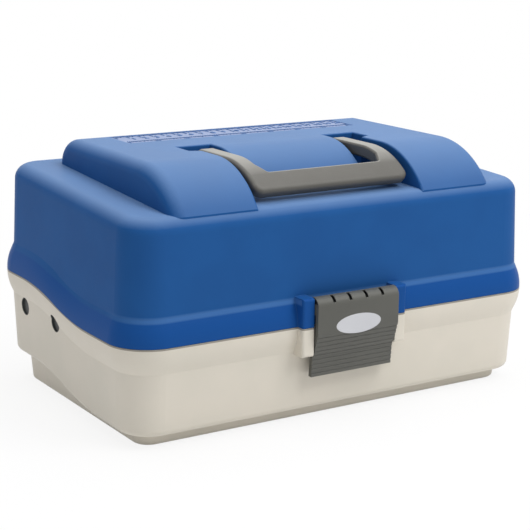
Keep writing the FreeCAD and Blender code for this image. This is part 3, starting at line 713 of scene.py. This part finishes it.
@dataclass
class Ruler:
    """The ruler in the lid's sunk panel, in relief: centimetres behind, inches in front.

    Its ticks say every how many lines one comes and how long it is, the longest first.
    """

    workshop: Workshop
    floor: float = RulerPanel().floor
    rise: float = 0.0005
    crown: float = 0.0001
    start: float = -0.1003
    length: float = 0.2032
    inch: float = 0.0254
    back_y: float = 0.0646
    line_y: float = 0.0404
    fine_width: float = 0.00034
    main_width: float = 0.00070
    millimetre_ticks: Ticks = ((10, 0.0088), (5, 0.0042), (1, 0.0022))
    sixteenth_ticks: Ticks = ((16, 0.0064), (8, 0.0040), (2, 0.0030), (1, 0.0024))
    centimetres: int = 20
    centimetre_number: float = 0.0058
    number_y: float = 0.0509
    number_shift: float = 0.0012
    inch_number: float = 0.0042
    inch_number_y: float = 0.0348
    inch_number_shift: float = -0.65
    digit_share: float = 0.7
    digit_steps: int = 3
    digit_swells: float = 120.0

    def stroke(self, mesh: bmesh.types.BMesh, x: Span, y: Span) -> None:
        """Add one raised line with eased top edges.

        Args:
            mesh: the mesh that it is added to.
            x: its left and right sides.
            y: its front and back ends.
        """
        middle = Vector(((x[0] + x[1]) / 2, (y[0] + y[1]) / 2, self.floor + self.rise / 2))
        size = Matrix.Diagonal((x[1] - x[0], y[1] - y[0], self.rise, 1.0))
        made = bmesh.ops.create_cube(mesh, size=1.0, matrix=Matrix.Translation(middle) @ size)
        top = [edge for edge in {e for v in made["verts"] for e in v.link_edges}
               if all(v.co.z > middle.z for v in edge.verts)]
        bmesh.ops.bevel(mesh, geom=top, offset=self.crown, affect="EDGES", segments=1,
                        profile=0.5, material=-1)

    def add_ticks(self, mesh: bmesh.types.BMesh, places: list[float], y: float,
                  ticks: Ticks) -> None:
        """Add a row of ticks, which run forwards from one line.

        Args:
            mesh: the mesh that they are added to.
            places: their middles, along the ruler.
            y: the line, across the ruler.
            ticks: the row's kinds of tick.
        """
        longest = ticks[0][0]
        for index, x in enumerate(places):
            reach = next(reach for step, reach in ticks if index % step == 0)
            width = self.fine_width if index % longest else self.main_width
            self.stroke(mesh, (x - width / 2, x + width / 2), (y - reach, y))

    def number(self, mesh: bmesh.types.BMesh, text: str, x: float, y: float,
               height: float) -> None:
        """Add a raised number.

        Args:
            mesh: the mesh that it is added to.
            text: the number.
            x: its middle, along the ruler.
            y: its middle, across the ruler.
            height: how tall it is.
        """
        curve = bpy.data.curves.new("number", "FONT")
        curve.body = text
        curve.align_x, curve.align_y = "CENTER", "CENTER"
        curve.resolution_u = self.digit_steps
        curve.size = height / self.digit_share
        curve.extrude = self.rise / 2
        curve.offset = height / self.digit_swells
        holder = bpy.data.objects.new("number", curve)
        bpy.context.scene.collection.objects.link(holder)
        bpy.context.view_layer.update()
        cut = holder.evaluated_get(bpy.context.evaluated_depsgraph_get())
        flat = bpy.data.meshes.new_from_object(cut)
        flat.transform(Matrix.Translation((x, y, self.floor + self.rise / 2)))
        mesh.from_mesh(flat)
        bpy.data.objects.remove(holder)
        bpy.data.curves.remove(curve)
        bpy.data.meshes.remove(flat)

    def add_centimetres(self, mesh: bmesh.types.BMesh) -> None:
        """Add the millimetre and centimetre ticks along the back edge, and their numbers.

        Args:
            mesh: the mesh that they are added to.
        """
        millimetres = round(self.length * MILLIMETRES_IN_METRE)
        places = [self.start + index / MILLIMETRES_IN_METRE for index in range(millimetres + 1)]
        self.add_ticks(mesh, places, self.back_y, self.millimetre_ticks)
        for index in range(1, self.centimetres + 1):
            place = self.start + index / CENTIMETRES_IN_METRE + self.number_shift
            self.number(mesh, str(index), place, self.number_y, self.centimetre_number)

    def add_inches(self, mesh: bmesh.types.BMesh) -> None:
        """Add the sixteenths of an inch along their line, and the inches' numbers before it.

        Args:
            mesh: the mesh that they are added to.
        """
        inches = round(self.length / self.inch)
        parts = self.sixteenth_ticks[0][0]
        places = [self.start + index * self.inch / parts for index in range(inches * parts + 1)]
        self.add_ticks(mesh, places, self.line_y, self.sixteenth_ticks)
        for index in range(1, inches + 1):
            place = self.start + index * self.inch + self.inch_number * self.inch_number_shift
            self.number(mesh, str(index), place, self.inch_number_y, self.inch_number)

    def build(self) -> bpy.types.Object:
        """Build the whole ruler as one piece of relief.

        Returns:
            The ruler, riding on the lid.
        """
        mesh = bmesh.new()
        self.add_centimetres(mesh)
        self.add_inches(mesh)
        return self.workshop.hang("lid_ruler_relief", mesh, Slot.LID, Body.LID)


@dataclass
class PackedPieces:
    """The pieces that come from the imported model, each with its finish."""

    workshop: Workshop
    nodes: dict[str, bpy.types.Object]
    slots: dict[str, str]

    def dress(self) -> None:
        """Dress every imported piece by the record's slot."""
        for name, piece in sorted(self.nodes.items()):
            slot = Slot(self.slots[name])
            self.workshop.dress(piece, slot)
            LOG.info("dressed %s with %s", name, slot.value)


@dataclass(frozen=True)
class Camera:
    """A long lens, from the box's front left and a little above."""

    azimuth: float = -32.78
    elevation: float = 13.65
    roll: float = 0.82
    focal_pixels: float = 1475.2
    frame_pixels: float = 530.0
    sensor: float = 36.0
    target: Spot = (-0.00129, 0.0, 0.0907)
    distance: float = 1.1555
    clip: Span = (0.05, 60.0)

    def build(self) -> bpy.types.Object:
        """Place the camera and make it the scene's.

        Returns:
            The camera.
        """
        turn, lift, roll = (math.radians(a) for a in (self.azimuth, self.elevation, self.roll))
        back = Vector((math.sin(turn) * math.cos(lift), -math.cos(turn) * math.cos(lift),
                       math.sin(lift)))
        right = Vector((math.cos(turn), math.sin(turn), 0.0))
        up = back.cross(right)
        side = right * math.cos(roll) + up * math.sin(roll)
        top = up * math.cos(roll) - right * math.sin(roll)
        data = bpy.data.cameras.new("picture_camera")
        data.sensor_width = self.sensor
        data.lens = self.focal_pixels * self.sensor / self.frame_pixels
        data.clip_start, data.clip_end = self.clip
        camera = bpy.data.objects.new("picture_camera", data)
        place = Matrix.Translation(Vector(self.target) + back * self.distance)
        camera.matrix_world = place @ Matrix((side, top, back)).transposed().to_4x4()
        bpy.context.scene.collection.objects.link(camera)
        bpy.context.scene.camera = camera
        return camera


@dataclass(frozen=True)
class Softbox:
    """One large lamp: where it stands, where it points, its size and its power."""

    name: str
    place: Spot
    aim: Spot
    size: Span
    power: float

    def build(self) -> bpy.types.Object:
        """Hang the lamp.

        Returns:
            The lamp.
        """
        data = bpy.data.lights.new(self.name, "AREA")
        data.shape = "RECTANGLE"
        data.size, data.size_y = self.size
        data.energy = self.power
        lamp = bpy.data.objects.new(self.name, data)
        direction = Vector(self.aim) - Vector(self.place)
        turn = direction.to_track_quat("-Z", "Y").to_matrix().to_4x4()
        lamp.matrix_world = Matrix.Translation(self.place) @ turn
        bpy.context.scene.collection.objects.link(lamp)
        return lamp


@dataclass(frozen=True)
class Studio:
    """A white sweep: a pale floor, a white surround and two soft lamps."""

    ambient: float = 0.43
    floor_half: float = 6.0
    floor_tone: float = 0.86
    floor_glow: Span = (0.86, 1.0)
    glow_reach: Span = (0.20, 0.75)
    lamps: tuple[Softbox, ...] = (
        Softbox("overhead_softbox", (0.05, 0.15, 1.35), (0.0, 0.0, 0.1), (1.5, 1.2), 13.0),
        Softbox("key_softbox", (0.50, -0.85, 1.25), (0.0, 0.0, 0.1), (0.8, 0.8), 11.0),
    )

    def seen_share(self, tree: bpy.types.NodeTree) -> Socket:
        """Find the rays that see the background itself: camera, glossy and transmission rays.

        Args:
            tree: the node tree that asks.

        Returns:
            A value of 1 for those rays, and 0 for the rays that only carry light.
        """
        path = tree.nodes.new("ShaderNodeLightPath")
        total = path.outputs["Is Camera Ray"]
        for name in ("Is Glossy Ray", "Is Transmission Ray"):
            node = tree.nodes.new("ShaderNodeMath")
            node.operation = "MAXIMUM"
            tree.links.new(total, node.inputs[0])
            tree.links.new(path.outputs[name], node.inputs[1])
            total = node.outputs[0]
        return total

    def build_surround(self) -> bpy.types.World:
        """Make the world white to the eye, and a plain soft light to the box.

        Returns:
            The white surround.
        """
        world = bpy.data.worlds.new("white_surround")
        bpy.context.scene.world = world
        world.use_nodes = True
        tree = world.node_tree
        tree.nodes.clear()
        output = tree.nodes.new("ShaderNodeOutputWorld")
        light = tree.nodes.new("ShaderNodeBackground")
        strength = tree.nodes.new("ShaderNodeMapRange")
        strength.inputs["To Min"].default_value = self.ambient
        strength.inputs["To Max"].default_value = 1.0
        tree.links.new(self.seen_share(tree), strength.inputs["Value"])
        tree.links.new(strength.outputs["Result"], light.inputs["Strength"])
        light.inputs["Color"].default_value = WHITE
        tree.links.new(light.outputs[0], output.inputs["Surface"])
        return world

    def glow_share(self, tree: bpy.types.NodeTree) -> Socket:
        """Find how much the floor glows: only to the eye, and more away from the box.

        Args:
            tree: the floor's node tree.

        Returns:
            How much of the glow shows, from 0 to 1.
        """
        place = tree.nodes.new("ShaderNodeTexCoord")
        distance = tree.nodes.new("ShaderNodeVectorMath")
        distance.operation = "LENGTH"
        rise = tree.nodes.new("ShaderNodeMapRange")
        rise.interpolation_type = "SMOOTHSTEP"
        spans = self.glow_reach + self.floor_glow
        for name, value in zip(("From Min", "From Max", "To Min", "To Max"), spans):
            rise.inputs[name].default_value = value
        share = tree.nodes.new("ShaderNodeMath")
        share.operation = "MULTIPLY"
        tree.links.new(place.outputs["Object"], distance.inputs[0])
        tree.links.new(distance.outputs["Value"], rise.inputs["Value"])
        tree.links.new(self.seen_share(tree), share.inputs[0])
        tree.links.new(rise.outputs["Result"], share.inputs[1])
        return share.outputs[0]

    def floor_paper(self) -> bpy.types.Material:
        """Make the floor's pale paper, which glows so that only the box's shadow shows on it.

        Returns:
            The paper.
        """
        material = bpy.data.materials.new("pale_floor_paper")
        material.use_nodes = True
        tree = material.node_tree
        tree.nodes.clear()
        output = tree.nodes.new("ShaderNodeOutputMaterial")
        paper = tree.nodes.new("ShaderNodeBsdfDiffuse")
        paper.inputs["Color"].default_value = (self.floor_tone,) * 3 + (1.0,)
        glow = tree.nodes.new("ShaderNodeEmission")
        glow.inputs["Strength"].default_value = 1.0
        mix = tree.nodes.new("ShaderNodeMixShader")
        tree.links.new(self.glow_share(tree), mix.inputs["Fac"])
        tree.links.new(paper.outputs[0], mix.inputs[1])
        tree.links.new(glow.outputs[0], mix.inputs[2])
        tree.links.new(mix.outputs[0], output.inputs["Surface"])
        return material

    def build_floor(self) -> bpy.types.Object:
        """Lay the pale floor.

        Returns:
            The floor.
        """
        mesh = bmesh.new()
        bmesh.ops.create_grid(mesh, x_segments=1, y_segments=1, size=self.floor_half)
        data = bpy.data.meshes.new("pale_floor")
        mesh.to_mesh(data)
        mesh.free()
        floor = bpy.data.objects.new("pale_floor", data)
        bpy.context.scene.collection.objects.link(floor)
        data.materials.append(self.floor_paper())
        return floor

    def build(self) -> None:
        """Build the surround, the floor and the lamps, and keep colours plain."""
        LOG.info("built %s", self.build_surround().name)
        LOG.info("built %s", self.build_floor().name)
        for lamp in self.lamps:
            LOG.info("built %s", lamp.build().name)
        bpy.context.scene.view_settings.view_transform = "Standard"


def main(frame: dict) -> None:
    """Build and dress the whole box.

    Args:
        frame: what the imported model's loader returns.
    """
    logging.basicConfig(level=logging.INFO, format="%(message)s")
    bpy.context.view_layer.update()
    workshop = Workshop()
    slots = {part["node"]: part["material_slot"] for part in frame["record"]["subparts"]}
    PackedPieces(workshop, frame["nodes"], slots).dress()
    LOG.info("built %s", Ruler(workshop).build().name)
    LOG.info("built %s", Camera().build().name)
    Studio().build()


if __name__ == "__main__":
    main(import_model())
